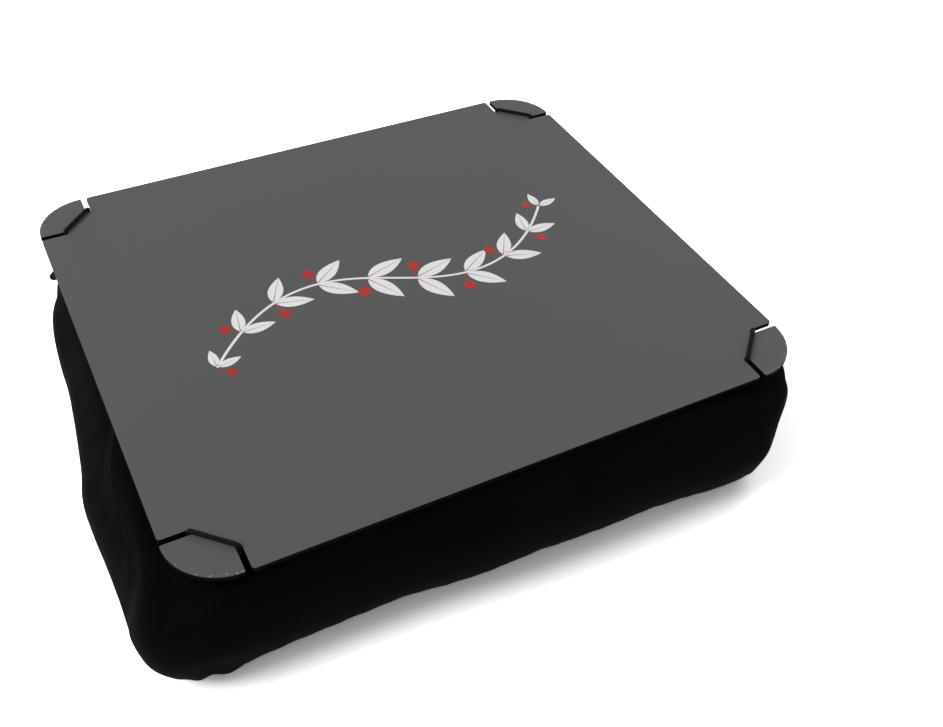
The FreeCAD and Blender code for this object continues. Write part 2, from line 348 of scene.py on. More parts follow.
def through(keys, at):
    """A smooth line through (place, height) keys."""
    places, heights = np.array(keys, float).T
    slopes = np.gradient(heights, places)
    index = np.clip(np.searchsorted(places, at) - 1, 0, len(places) - 2)
    span = places[index + 1] - places[index]
    share = np.clip((at - places[index]) / span, 0, 1)
    squared, cubed = share**2, share**3
    return (
        (2 * cubed - 3 * squared + 1) * heights[index]
        + (cubed - 2 * squared + share) * span * slopes[index]
        + (3 * squared - 2 * cubed) * heights[index + 1]
        + (cubed - squared) * span * slopes[index + 1]
    )


# Finishes

HIGHLIGHT_REACH = 2.2  # how far the film's painted highlight specks reach in from its rim
HIGHLIGHT_CORNER = 4.0  # square millimetres, which keeps them off the rim's straight runs
HIGHLIGHT_SIZE, HIGHLIGHT_LEVEL = 1.5, 0.64


def film_finish():
    """Satin dark grey print film with a fine orange peel, and pale specks of painted highlight along the
    rim of its corners.
    """
    film = Finish("satin_grey_film", specular=0.11)
    cloud = film.noise(90.0, 3.0)
    grey = film.mix(cloud, (0.0955, 0.0955, 0.099), (0.1015, 0.1015, 0.105))
    centre = (*((BOARD / 2 - BOARD_CORNER) * MM), BOARD_TOP * MM)
    reach = film.vectors("SUBTRACT", film.vectors("ABSOLUTE", film.place), centre)
    reach = film.vectors("MAXIMUM", reach, (0, 0, 0))
    rim = film.vectors("LENGTH", reach, output="Value") > (BOARD_CORNER - HIGHLIGHT_REACH) * MM
    rounded = film.component(reach, "X") * film.component(reach, "Y") > HIGHLIGHT_CORNER * MM * MM
    # Pale specks along the rim of the rounded corners: painted highlight where the film's edge catches
    # the light.
    painted_highlight = rim * rounded * (film.noise(HIGHLIGHT_SIZE, 3.0) > HIGHLIGHT_LEVEL)
    upward = film.component(film.node("ShaderNodeTexCoord", output="Normal"), "Z") > 0.5
    film.colour(upward, (0.0015, 0.0015, 0.0015), film.mix(painted_highlight, grey, (0.3, 0.3, 0.3)))
    film.rough(0.47 + film.noise(0.8, 2.0) * 0.08 + cloud * 0.05)
    film.bump(film.noise(0.6, 2.0), 0.01, 0.35)
    return film


def core_finish():
    """Dark fibreboard with a scorched, fibrous edge."""
    core = Finish("dark_fibreboard", specular=0.03)
    fibre = core.noise(1.1, 4.0, (1, 1, 3.0), 0.7)
    core.colour(fibre, (0.0007, 0.0007, 0.0007), (0.0024, 0.0022, 0.002))
    core.rough(0.75 + fibre * 0.2)
    core.bump(fibre, 0.08, 0.7)
    return core


def suede_finish():
    """Black brushed suede: a fine nap that lies in soft patches, with a faint sheen at grazing angles."""
    sheen = {"Sheen_Weight": 0.008, "Sheen_Roughness": 0.45, "Sheen_Tint": (0.62, 0.64, 0.66, 1)}
    suede = Finish("black_suede", specular=0.02, **sheen)
    brushed = suede.noise(34.0, 3.0, (1, 1, 1.4), 0.6)
    nap = suede.noise(0.55, 3.0, (1, 1, 0.6), 0.65)
    pile = suede.noise(2.6, 2.0)
    suede.colour(brushed * 0.6 + nap * 0.4, (0.0013, 0.0013, 0.0014), (0.0038, 0.0038, 0.004))
    suede.rough(0.86 + nap * 0.12)
    suede.bump(nap * 0.6 + pile * 0.4, 0.45, 0.6)
    return suede


def braid_finish():
    """Black covering yarn of the elastic."""
    braid = Finish("black_braid", specular=0.1, Sheen_Weight=0.01, Sheen_Roughness=0.4)
    yarn = braid.noise(0.35, 2.0)
    braid.colour(yarn, (0.0018, 0.0018, 0.0022), (0.0065, 0.0065, 0.008))
    braid.rough(0.55 + yarn * 0.25)
    braid.bump(yarn, 0.08, 0.5)
    return braid


def tape_finish():
    """Woven zipper tape, ribbed along its length."""
    tape = Finish("woven_tape", specular=0.2)
    weave = tape.wave("Z", 160.0, 0.4) * 0.6 + tape.wave("X", 220.0, 0.6) * 0.4
    tape.colour(weave, (0.005, 0.005, 0.0055), (0.02, 0.02, 0.021))
    tape.rough(0.9 - weave * 0.15)
    tape.bump(weave, 0.12, 0.7)
    return tape


def nylon_finish():
    """Black moulded nylon, faintly scuffed."""
    nylon = Finish("black_nylon", specular=0.1)
    scuff = nylon.noise(1.4, 3.0)
    nylon.colour(scuff, (0.0022, 0.0022, 0.0024), (0.007, 0.007, 0.0073))
    nylon.rough(0.48 + scuff * 0.2)
    nylon.bump(nylon.noise(0.3, 2.0), 0.02, 0.4)
    return nylon


def enamel_finish():
    """Black enamel on the slider and stops, rubbed paler in places."""
    enamel = Finish("black_enamel", specular=0.3)
    rub = enamel.noise(2.2, 4.0, roughness=0.65)
    worn = enamel.node("ShaderNodeMapRange", {"Value": rub, "From Min": 0.62, "From Max": 0.74})
    enamel.colour(worn, (0.009, 0.009, 0.0095), (0.05, 0.05, 0.05))
    enamel.rough(0.28 + rub * 0.2)
    enamel.bump(rub, 0.02, 0.4)
    return enamel


def thread_finish():
    """Twisted black sewing thread."""
    thread = Finish("black_thread", specular=0.3)
    twist = thread.wave("DIAGONAL", 700.0)
    thread.colour(twist, (0.008, 0.008, 0.009), (0.03, 0.03, 0.032))
    thread.rough(0.55 + twist * 0.2)
    return thread


def ink_finish(name, pale, deep):
    """Screen ink on the film, with a little unevenness in its cover."""
    ink = Finish(name, specular=0.3)
    ink.colour(ink.noise(3.0, 3.0), deep, pale)
    ink.rough(0.42 + ink.noise(0.7, 2.0) * 0.12)
    ink.bump(ink.noise(0.6, 2.0), 0.01, 0.35)
    return ink


def cloth_finish(name, pale, deep, size):
    """Undyed cloth or fibre inside the cover."""
    cloth = Finish(name, specular=0.15)
    lay = cloth.noise(size, 4.0, (1, 1, 0.5), 0.6)
    cloth.colour(lay, deep, pale)
    cloth.rough(0.85 + lay * 0.1)
    cloth.bump(lay, 0.6, 0.5)
    return cloth


film, core, suede, braid = film_finish(), core_finish(), suede_finish(), braid_finish()
tape, nylon, enamel, thread = tape_finish(), nylon_finish(), enamel_finish(), thread_finish()
white_ink = ink_finish("white_ink", (0.84, 0.83, 0.82), (0.78, 0.77, 0.76))
red_ink = ink_finish("red_ink", (0.5, 0.012, 0.016), (0.42, 0.008, 0.012))
bag_cloth = cloth_finish("white_bag_cloth", (0.78, 0.77, 0.74), (0.66, 0.65, 0.62), 1.2)
fibre = cloth_finish("white_fibre", (0.86, 0.86, 0.84), (0.7, 0.7, 0.68), 3.5)
as_built = {
    "top_film": film, "tray_board": core, "zipper_tape_upper": tape, "zipper_tape_lower": tape,
    "zipper_top_stops": enamel, "zipper_bottom_stop": enamel,
}
for node, finish in as_built.items():
    nodes[node].data.materials.clear()
    nodes[node].data.materials.append(finish.material)


# The cushion's form

# Levels: height, reach past the board's edge, corner radius, bow of the sides
AT_LOWER_SEAM, AT_UPPER_SEAM = (BOTTOM_SEAM, 6.0, 34.0, -1.0), (TOP_SEAM, 7.0, 36.0, 2.0)
LOWER_CROWN = ((0.0, -10.0, 60.0, 5.0), (4.5, -1.2, 47.0, 5.0), AT_LOWER_SEAM)
BAND_MIDDLE = ((24.0, 9.6, 34.0, 1.5), (ZIP_HEIGHT, 11.0, 34.0, 2.0), (58.0, 10.0, 34.0, 2.0))
BAND = (AT_LOWER_SEAM, *BAND_MIDDLE, AT_UPPER_SEAM)
UPPER_CROWN = (AT_UPPER_SEAM, (76.6, -7.0, 62.0, 10.0), (BOARD_BOTTOM, -26.0, 100.0, 18.0))
# Where the rings lie, closer together near the seams
LOWER_SHARES = (0, 0.22, 0.42, 0.62, 0.8, 0.92, 1.0)
BAND_HEIGHTS = (11.3, 13.2, *np.linspace(16, 32, 6), 35, 38, 41, *np.linspace(44, 64.5, 8), 67.0, 68.7)
UPPER_SHARES = (0, 0.045, 0.12, 0.24, 0.38, 0.54, 0.7, 0.85, 1.0)
BACK_COUNT, CORNER_COUNT, SIDE_COUNT, FRONT_COUNT = 92, 22, 80, 92
CENTRE_RINGS = 9


def ring_template():
    """For each point of a ring: its share of the straight sides, and the way it faces."""
    ends = np.array([1.0, (ZIP_HALF + BACK_STRAIGHT) / 2 / BACK_STRAIGHT])
    middle = np.linspace(ZIP_HALF, -ZIP_HALF, BACK_COUNT - 3) / BACK_STRAIGHT
    back = np.concatenate([ends, middle, -ends[::-1]])[:-1]
    shares, faces = [], []

    def straight(xs, ys, facing):
        shares.append(np.stack(np.broadcast_arrays(xs, ys), 1))
        faces.append(np.tile(facing, (len(shares[-1]), 1)))

    def corner(x, y, start):
        angles = np.radians(np.linspace(start, start + 90, CORNER_COUNT + 1)[:-1])
        shares.append(np.tile((x, y), (CORNER_COUNT, 1)))
        faces.append(np.stack([np.cos(angles), np.sin(angles)], 1))

    side = np.linspace(1, -1, SIDE_COUNT + 1)[:-1]
    front = np.linspace(-1, 1, FRONT_COUNT + 1)[:-1]
    straight(back, 1.0, (0, 1))
    corner(-1, 1, 90)
    straight(-1.0, side, (-1, 0))
    corner(-1, -1, 180)
    straight(front, -1.0, (0, -1))
    corner(1, -1, 270)
    straight(1.0, -side, (1, 0))
    corner(1, 1, 0)
    return np.concatenate(shares), np.concatenate(faces)


SHARES, FACING = ring_template()
AROUND = len(SHARES)


def ring(level):
    """A ring at one level, whose left, front and right sides bow between their corners."""
    height, reach, corner, bow = level
    half = BOARD / 2 + reach
    flat = SHARES * (half - corner) + FACING * corner
    share = 1 - (flat / half) ** 4
    sides = FACING[:, 0] ** 2 * share[:, 1]
    front = np.where(FACING[:, 1] < 0, FACING[:, 1] ** 2 * share[:, 0], 0)
    flat = flat + FACING * (bow * (sides + front))[:, None]
    return np.column_stack([flat, np.full(AROUND, height)])


def levels_along(keys, shares):
    """Levels at shares of the way along a run of key levels."""
    keys = np.array(keys)
    steps = np.linspace(0, 1, len(keys))
    return np.stack([through(list(zip(steps, column)), np.array(shares)) for column in keys.T], 1)


def levels_at(keys, heights):
    """Levels at heights in a run of key levels."""
    dense = levels_along(keys, np.linspace(0, 1, 400))
    return np.stack([np.interp(heights, dense[:, 0], column) for column in dense.T], 1)


# How the soft cushion sits under the board: (place along the side, shift) in millimetres
LEFT_LEAN = (
    (-200, -17.0), (-186, -16.5), (-160, -13.0), (-130, -11.2), (-107, -10.8), (-83, -11.2), (-62, -10.6),
    (-42, -6.4), (-20, -3.2), (3, -0.3), (31, 2.4), (61, 3.2), (90, 5.0), (112, 8.5), (128, 12.0),
    (144, 15.0), (158, 16.5), (170, 17.0), (200, 17.0),
)
FRONT_LEAN = (
    (-225, 0.5), (-205, 2.0), (-188, 5.0), (-172, 2.0), (-137, 3.7), (-81, 4.0), (-35, -1.0),
    (0, -2.5), (50, -3.7), (100, -5.0), (146, -10.0), (168, -8.5), (186, 0.5), (206, 11.0), (225, 17.0),
)
RIGHT_LEAN = ((-200, -4.0), (-165, -6.0), (-120, -10.0), (-60, -9.0), (60, -4.0), (120, -1.0), (196, 0.0))
FRONT_RIGHT_LEAN = ((0, -10.0), (25, -13.0), (45, -11.5), (58, -6.0), (70, 3.0), (82, 4.0))  # by height
BACK_CORNER_PULL = np.array([6.0, -16.0])
BACK_CORNER_TUCK = 7.0  # above the middle of the band, before the back left corner
# Between which places each shift comes in
SIDE_SPAN, BACK_LEFT_SPAN = (60, 190), (168, 212)
NEAR_BACK_SPAN = (60, 150)
FRONT_SPAN = (40, 170)
TOP_SPAN, TOP_FADE = (45, BOARD_BOTTOM), 0.5  # higher up, the left side stands out less
FRONT_RIGHT_SPANS = ((150, 205), (120, 180))
PULL_SPANS = ((172, 211), (140, 191))
TUCK_SPANS = ((150, 205), (95, 128), (150, 185), (35, 62))


def lean(points):
    """Shifts the sides as the cushion lies in the photo, and leaves the zipper's wall where it is."""
    x, y, z = points.T
    near_back = ease(y, *NEAR_BACK_SPAN)
    left = ease(-x, *SIDE_SPAN) * (1 - near_back) + ease(-x, *BACK_LEFT_SPAN) * near_back
    moved = points.copy()
    shift = through(LEFT_LEAN, y)
    shift *= np.where(shift < 0, 1 - TOP_FADE * ease(z, *TOP_SPAN), 1)
    moved[:, 0] += shift * left + through(RIGHT_LEAN, y) * ease(x, *SIDE_SPAN)
    moved[:, 1] += through(FRONT_LEAN, x) * ease(-y, *FRONT_SPAN)
    across, along = FRONT_RIGHT_SPANS
    moved[:, 0] += through(FRONT_RIGHT_LEAN, z) * ease(x, *across) * ease(-y, *along)
    across, along = PULL_SPANS
    moved[:, :2] += BACK_CORNER_PULL * (ease(-x, *across) * ease(y, *along))[:, None]
    across, along, beyond, upward = TUCK_SPANS
    tucked = ease(-x, *across) * ease(y, *along) * (1 - ease(y, *beyond)) * ease(z, *upward)
    moved[:, 0] += BACK_CORNER_TUCK * tucked
    return moved


def cushion_rings(*runs):
    """Rings from the underside's middle to the top's middle."""
    rings = [ring(level) for run in runs for level in run]
    inner = np.linspace(0, 1, CENTRE_RINGS + 1)[1:-1]
    bottom = [rings[0] * (share, share, 1) for share in inner]
    top = [rings[-1] * (share, share, 1) for share in inner[::-1]]
    return bottom + rings + top


def close_middles(piece):
    """Closes the two open middles with fans."""
    mesh = bmesh.new()
    mesh.from_mesh(piece.data)
    rim = [edge for edge in mesh.edges if edge.is_boundary]
    for low in (True, False):
        ends = [edge for edge in rim if (edge.verts[0].co.z < BOARD_BOTTOM / 2 * MM) == low]
        middle = sum((edge.verts[0].co + edge.verts[1].co for edge in ends), Vector()) / (2 * len(ends))
        hub = mesh.verts.new(middle)
        for edge in ends:
            loop = edge.link_loops[0]
            fan = mesh.faces.new((loop.link_loop_next.vert, loop.vert, hub))
            fan.smooth = True
    mesh.to_mesh(piece.data)
    mesh.free()


# The stuffing, by cloth simulation
CLOTH = {
    "quality": 6, "mass": 0.3, "tension_stiffness": 12, "compression_stiffness": 12, "shear_stiffness": 4,
    "bending_stiffness": 2.0, "use_pressure": True, "uniform_pressure_force": 3.0, "shrink_min": -0.02,
}
CLOTH_FRAMES = 20
SWELL_CAP = 6.0
EVEN_REACH, EVEN_SHARE = 6, 0.7  # points to each side over which the swelling is evened, and how far
# How far the places reach where the cover is held
HELD_TOP, HELD_FLOOR, HELD_ZIP, HELD_ENDS = 1.2, 0.6, 15.0, 2.0


def held_points(points):
    """Which points stay in place: under the board, on the floor and around the zipper."""
    x, y, z = points.T
    on_back = (y > BOARD[1] / 2) & (np.abs(x) < BACK_STRAIGHT + HELD_ENDS)
    by_zip = on_back & (np.abs(z - ZIP_HEIGHT) < HELD_ZIP)
    return (z > BOARD_BOTTOM - HELD_TOP) | (z < HELD_FLOOR) | by_zip


def stuff(piece, held):
    """Swells the cover from inside, keeping the held points and a cap on the others."""
    start = points_of(piece)
    group = piece.vertex_groups.new(name="held")
    group.add(np.flatnonzero(held).tolist(), 1.0, "REPLACE")
    cloth = piece.modifiers.new("stuffing", "CLOTH")
    for key, value in CLOTH.items():
        setattr(cloth.settings, key, value)
    cloth.settings.effector_weights.gravity = 0
    cloth.settings.vertex_group_mass = "held"
    cloth.collision_settings.use_collision = False
    scene.frame_start, scene.frame_end = 1, CLOTH_FRAMES
    cloth.point_cache.frame_end = CLOTH_FRAMES
    for number in range(1, CLOTH_FRAMES + 1):
        scene.frame_set(number)
    settle(piece)
    scene.frame_set(1)
    piece.vertex_groups.clear()
    grid = (points_of(piece) - start).reshape(-1, AROUND, 3)
    shifts = range(-EVEN_REACH, EVEN_REACH + 1)
    even = sum(np.roll(grid, shift, 1) for shift in shifts) / len(shifts)
    moved = (grid + (even - grid) * EVEN_SHARE).reshape(-1, 3) * ~held[:, None]
    length = np.linalg.norm(moved, axis=1, keepdims=True)
    capped = SWELL_CAP * np.tanh(length / SWELL_CAP)
    set_points(piece, start + moved * capped / np.maximum(length, 1e-6))


lower_rows = levels_along(LOWER_CROWN, LOWER_SHARES)
band_rows = levels_at(BAND, BAND_HEIGHTS)
upper_rows = levels_along(UPPER_CROWN, UPPER_SHARES)
LOWER_SEAM_ROW = CENTRE_RINGS - 1 + len(lower_rows) - 1
UPPER_SEAM_ROW = LOWER_SEAM_ROW + len(band_rows) + 1
plain_points, cover_faces = ring_mesh(cushion_rings(lower_rows, band_rows, upper_rows))
cover = mesh_piece("cushion_cover", plain_points, cover_faces, suede)
held = held_points(plain_points)
stuff(cover, held)
set_points(cover, points_of(cover) + lean(plain_points) - plain_points)

# For the lower and the upper seam: gathers, lip and groove, in millimetres
SEAM_RELIEF = ((0.6, 0.3, 1.0), (0.25, 0.0, 0.2))
GATHER_SHORTEST, GATHER_LONGEST, GATHER_WAVES = 11, 30, 9
GATHER_REACH, GATHER_START = 9.0, 1.6
LIP_PLACE, LIP_WIDTH, GROOVE_WIDTH = 3.2, 2.2, 1.25
ZIP_CALM = 20.0
# Short folds in the cloth: their two ends, depth and width
FOLDS = (
    ((-217, -126, 58), (-212, -152, 49), 2.4, 2.4),
    ((-193, -184, 14), (-190, -172, 0), 4.5, 3.5),
    ((-35, -186, 11), (-35, -180, 2), 1.0, 2.6),
    ((104, -190, 12), (105, -183, 2), 2.4, 3.0),
)
ROLL_SHARE, ROLL_PLACE = 0.45, 2.2  # a roll's height in fold depths, and its place in fold widths


def seam_lengths(points):
    """For each point of the cover's rings, how far it lies along the cover from each seam."""
    grid = points.reshape(-1, AROUND, 3)
    steps = np.linalg.norm(np.diff(grid, axis=0), axis=2)
    run = np.concatenate([np.zeros((1, AROUND)), np.cumsum(steps, 0)])
    return [np.abs(run - run[row]).ravel() for row in (LOWER_SEAM_ROW, UPPER_SEAM_ROW)]


def seam_run(points):
    """How far along the upper seam each of its points lies, and the seam's length."""
    seam = points[UPPER_SEAM_ROW * AROUND:(UPPER_SEAM_ROW + 1) * AROUND]
    steps = np.linalg.norm(np.diff(seam, axis=0, append=seam[:1]), axis=1)
    return np.concatenate([[0], np.cumsum(steps)[:-1]]), steps.sum()


def puckers(run, total, depth):
    """Uneven gathers along a closed seam."""
    height = np.zeros_like(run)
    for number in chance.integers(total / GATHER_LONGEST, total / GATHER_SHORTEST, GATHER_WAVES):
        phase = chance.uniform(0, math.tau)
        share = chance.uniform(0.4, 1)
        height += np.sin(math.tau * number * run / total + phase) * share
    return height * depth / math.sqrt(GATHER_WAVES)


def fold_relief(points, start, end, depth, width):
    """A groove from start to end with a soft roll of cloth beside it."""
    start, end = np.array(start, float), np.array(end, float)
    along = end - start
    share = np.clip((points - start) @ along / (along @ along), 0, 1)
    away = np.linalg.norm(points - start - share[:, None] * along, axis=1)
    taper = np.sin(np.pi * (0.12 + 0.76 * share))
    return depth * taper * (ROLL_SHARE * bell(away - ROLL_PLACE * width, width) - bell(away, width))


def sew(piece, held):
    """Draws the two seams in, with the small gathers that sewing leaves beside them."""
    points = points_of(piece)
    facing = vectors_of(piece, "normal")
    rise = np.zeros(len(points))
    run, total = seam_run(points)
    rows = len(points) // AROUND
    for away, (gather, lip, groove) in zip(seam_lengths(points), SEAM_RELIEF):
        near = np.exp(-away / GATHER_REACH) * (1 - np.exp(-away / GATHER_START))
        rise += np.tile(puckers(run, total, gather), rows) * near
        rise += lip * bell(away - LIP_PLACE, LIP_WIDTH) - groove * bell(away, GROOVE_WIDTH)
    for fold in FOLDS:
        rise += fold_relief(points, *fold)
    x, y, z = points.T
    calm = (y > BOARD[1] / 2) & (np.abs(z - ZIP_HEIGHT) < ZIP_CALM) & (np.abs(x) < BACK_STRAIGHT)
    rise[calm | held] = 0
    set_points(piece, points + facing * rise[:, None])
    return points_of(piece), vectors_of(piece, "normal")


BACK_FROM = 185.0  # what lies further back is the back wall
ZIP_CUT_HIGH, ZIP_CUT_WIDE = ZIP_OPENING + 0.2, ZIP_HALF + 1.0
HEM_STEPS = ((0.5, -0.25), (0.7, 0.3), (0.1, 4.0))  # inward and away from the opening, step by step
HEM_SIDE, HEM_END = 4.0, 1.5


def open_zip(piece):
    """Cuts the zipper's opening in the back and turns its edges in."""
    mesh = bmesh.new()
    mesh.from_mesh(piece.data)

    def within(co):
        high = abs(co.z - ZIP_HEIGHT * MM) < ZIP_CUT_HIGH * MM
        return co.y > BACK_FROM * MM and high and abs(co.x) < ZIP_CUT_WIDE * MM

    gone = [face for face in mesh.faces if all(within(vertex.co) for vertex in face.verts)]
    bmesh.ops.delete(mesh, geom=gone, context="FACES")
    rim = [edge for edge in mesh.edges if edge.is_boundary]
    for inward, outward in HEM_STEPS:
        made = bmesh.ops.extrude_edge_only(mesh, edges=rim)["geom"]
        for item in made:
            if isinstance(item, bmesh.types.BMVert):
                item.co.y -= inward * MM
                end = abs(abs(item.co.x) - ZIP_HALF * MM) < HEM_END * MM
                across = item.co.z - ZIP_HEIGHT * MM
                item.co.z += math.copysign(outward * MM, across) if abs(across) > HEM_SIDE * MM else 0
                item.co.x += math.copysign(outward * MM, item.co.x) if end else 0
        rim = [item for item in made if isinstance(item, bmesh.types.BMEdge)]
    mesh.to_mesh(piece.data)
    mesh.free()


form, form_facing = sew(cover, held)
rounding = cover.modifiers.new("rounding", "SUBSURF")
rounding.levels = rounding.render_levels = 1
settle(cover)
close_middles(cover)
open_zip(cover)
cover.data.polygons.foreach_set("use_smooth", [True] * len(cover.data.polygons))

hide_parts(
    "cover_top_panel", "cover_bottom_panel", "cover_side_band",
    "cover_zip_band_upper", "cover_zip_band_lower",
)
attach(cover, "cushion")


# The stuffed bag inside


def inner_piece(name, depth, finish, node):
    """A plainer copy of the cover's form, that far inside it."""
    rings = (form - form_facing * depth).reshape(-1, AROUND, 3)
    points, faces = ring_mesh([row[::2] for row in [*rings[:-1:2], rings[-1]]])
    piece = mesh_piece(name, points, faces, finish)
    close_middles(piece)
    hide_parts(node)
    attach(piece, "cushion")


inner_piece("stuffed_bag", 4.1, bag_cloth, "inner_bag")
inner_piece("loose_fibre", 5.4, fibre, "fibre_fill")


# The zipper

# Outlines are (along, across) from the slider's middle or the pull's pivot
TOOTH_PITCH, TOOTH_REACH, TOOTH_FOOT, TEETH_MARGIN = 2.5, 0.75, 3.0, 4.0
TOOTH_HALF = ((0.62, TOOTH_FOOT), (0.62, 2.1), (0.4, 1.6), (0.42, 0.8), (0.56, 0.2), (0.3, -TOOTH_REACH))
SLIDER_FRONT_HALF = (
    (-5.5, 1.6), (-5.2, 3.0), (-4.2, 4.0), (-3.0, 4.15), (0.5, 4.0), (3.4, 3.6), (4.9, 2.9), (5.5, 1.5),
)
SLIDER_CREST_HALF = ((-4.6, 1.1), (-3.6, 2.4), (2.6, 2.2), (4.6, 1.0))
SLIDER_FLANGE = ((-3.4, 3.35), (-3.0, 4.1), (2.4, 3.9), (3.4, 3.4))
SLIDER_BACK_HALF = ((-4.0, 2.0), (-3.4, 3.0), (3.0, 2.9), (4.0, 1.9))
BAIL_OUTER_HALF = ((-4.5, 0), (-4.45, 1.8), (-4.0, 2.75), (-3.0, 3.2), (0, 3.3))
BAIL_INNER_HALF = ((-3.5, 0), (-3.45, 1.5), (-3.1, 2.05), (-2.5, 2.25), (0, 2.3))
PULL_FORK = (
    (0.4, 3.4), (-6.4, 3.4), (-7.6, 2.6), (-8.6, 1.4), (-9.0, 0.0), (-8.8, -1.6), (-8.0, -2.8),
    (-6.4, -3.4), (0.4, -3.4), (0.4, -2.1), (-5.4, -2.1), (-6.0, -1.5), (-6.0, 1.5), (-5.4, 2.1),
    (0.4, 2.1),
)
PULL_BAR_HALF, PULL_BAR_RADIUS = 3.3, 0.7
PULL_NECK_HALF = ((-7.4, 1.4), (-20.0, 1.3), (-33.0, 1.55), (-36.0, 2.0))
PULL_GRIP_HALF = ((-33.0, 1.5), (-34.4, 2.5), (-36.5, 3.0), (-40.0, 3.2))
PULL_TIP, PULL_TIP_RADIUS = -44.9, 3.1
PULL_RIBS = (-38, -40, -42, -44)
RIB_HALF, RIB_REACH = 0.35, 2.2


def plate(outline, low, high, rim, steps=2):
    """Points and faces of a flat plate in the zipper's plane, with softened edges."""
    mesh = bmesh.new()
    corners = [mesh.verts.new((x, low, z)) for x, z in outline]
    face = mesh.faces.new(corners)
    raised = bmesh.ops.extrude_face_region(mesh, geom=[face])["geom"]
    for item in raised:
        if isinstance(item, bmesh.types.BMVert):
            item.co.y = high
    bmesh.ops.recalc_face_normals(mesh, faces=mesh.faces)
    sharp = [edge for edge in mesh.edges if edge.calc_face_angle(0) > math.radians(50)]
    bevel = {"offset": rim, "segments": steps, "profile": 0.5, "affect": "EDGES", "clamp_overlap": True}
    bmesh.ops.bevel(mesh, geom=sharp, **bevel)
    points = np.array([vertex.co for vertex in mesh.verts])
    mesh.verts.index_update()
    faces = [[vertex.index for vertex in face.verts] for face in mesh.faces]
    mesh.free()
    return points, faces


def slab(outline, half, rim):
    """A plate that is as thick on both sides of its middle."""
    return plate(outline, -half, half, rim)


def both_sides(half):
    """A closed outline from its upper half, mirrored below."""
    return list(half) + [(x, -z) for x, z in half[::-1] if z]


def arched(half):
    """An arch from its left half, whose last point is its middle."""
    return list(half) + [(-x, z) for x, z in half[-2::-1]]


def tooth_piece(turn):
    """One moulded tooth: a foot clamped on the tape, a narrow neck and a wider head across the middle."""
    half = [(x, turn * z) for x, z in TOOTH_HALF]
    outline = half + [(-x, z) for x, z in half[::-1]]
    points, faces = plate(outline, TEETH_INNER, TEETH_OUTER, rim=0.12, steps=1)
    return mesh_piece("tooth", points, faces, nylon, smooth=False)


def teeth_row(name, turn, shift, node):
    """A row of teeth along the zipper, repeated by its pitch."""
    count = int(2 * (ZIP_HALF - TEETH_MARGIN) / TOOTH_PITCH)
    start = (-count * TOOTH_PITCH / 2 + shift) * MM
    make = Recipe(name + "_row", Count=count, Pitch=TOOTH_PITCH * MM, Start=start, Height=ZIP_HEIGHT * MM)
    first = make.triple(X=make.size("Start"), Z=make.size("Height"))
    step = make.triple(X=make.size("Pitch"))
    places = {"Count": make.size("Count"), "Start Location": first, "Offset": step}
    line = make.node("GeometryNodeMeshLine", places)
    make.end(make.repeat(tooth_piece(turn), line), nylon, smooth=False)
    piece = make.run(name, mesh_piece(name, [(0, 0, 0)], []))
    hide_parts(node)
    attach(piece, "cushion")


def slider_piece():
    """A cast slider: shaped front plate, flanges round the teeth, back plate and a bail for the pull."""
    inner = TEETH_OUTER + RUN_GAP
    outer = inner + SLIDER_PLATE
    front = plate(both_sides(SLIDER_FRONT_HALF), inner, outer, rim=0.35)
    crest = plate(both_sides(SLIDER_CREST_HALF), outer - 0.2, outer + 0.25, rim=0.2)
    flange = plate(SLIDER_FLANGE, TEETH_INNER + RUN_GAP, outer - 0.3, rim=0.15)
    under = flipped((flange[0] * (1, 1, -1), flange[1]))
    back = plate(both_sides(SLIDER_BACK_HALF), *SLIDER_BACK_FACES, rim=0.15)
    bail = slab(arched(BAIL_OUTER_HALF) + arched(BAIL_INNER_HALF)[::-1], half=0.8, rim=0.22)
    bail = flipped((bail[0][:, [0, 2, 1]] + np.array([0, outer - 0.1, 0]), bail[1]))
    points, faces = joined([front, crest, flange, under, back, bail])
    place = np.array([SLIDER_X, 0, ZIP_HEIGHT])
    piece = mesh_piece("slider", points + place, faces, enamel, smooth=False)
    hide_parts("zipper_slider")
    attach(piece, "slider")


def drooping(part):
    """Turns a part of the pull down about the end of its head."""
    points, faces = part
    cosine, sine = math.cos(PULL_DROOP), math.sin(PULL_DROOP)
    x, y, z = points.T
    along = x + PULL_HEAD
    return np.stack([along * cosine - z * sine - PULL_HEAD, y, along * sine + z * cosine], 1), faces


def pull_piece():
    """A soft moulded pull: a forked head on a bar, and a slim neck and a ribbed grip that droop."""
    head = slab(PULL_FORK, half=0.7, rim=0.25)
    bar = prism(circle(PULL_BAR_RADIUS, count=12), half=PULL_BAR_HALF)
    tail = [slab(both_sides(PULL_NECK_HALF), half=0.75, rim=0.3)]
    angles = np.radians(np.linspace(90, 180, 7))
    tip = np.stack([np.cos(angles), np.sin(angles)], 1) * PULL_TIP_RADIUS + (PULL_TIP, 0)
    tail.append(slab(both_sides([*PULL_GRIP_HALF, *tip]), half=1.2, rim=0.6))
    for x in PULL_RIBS:
        rib = both_sides([(x - RIB_HALF, RIB_REACH), (x + RIB_HALF, RIB_REACH)])
        tail.append(slab(rib, half=1.3, rim=0.15))
    points, faces = joined([head, bar, drooping(joined(tail))])
    place = np.array([SLIDER_X, PIVOT_Y, ZIP_HEIGHT])
    piece = mesh_piece("pull", points + place, faces, nylon, smooth=False)
    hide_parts("zipper_pull")
    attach(piece, "pull")


teeth_row("upper_teeth", 1, 0.0, "zipper_teeth_upper")
teeth_row("lower_teeth", -1, TOOTH_PITCH / 2, "zipper_teeth_lower")
slider_piece()
pull_piece()


# Stitches around the zipper

STITCH_LENGTH, STITCH_RADIUS, STITCH_SPACING = 2.5, 0.33, 3.4
STITCH_SIDES = 6
# A stitch's form: shares of its length and of its radius
STITCH_PROFILE = ((-0.5, 0.35), (-0.38, 0.85), (0.0, 1.0), (0.38, 0.85), (0.5, 0.35))
STITCHES_ACROSS, STITCHES_PAST = 9.0, 3.0  # from the zipper's centre line and past its ends


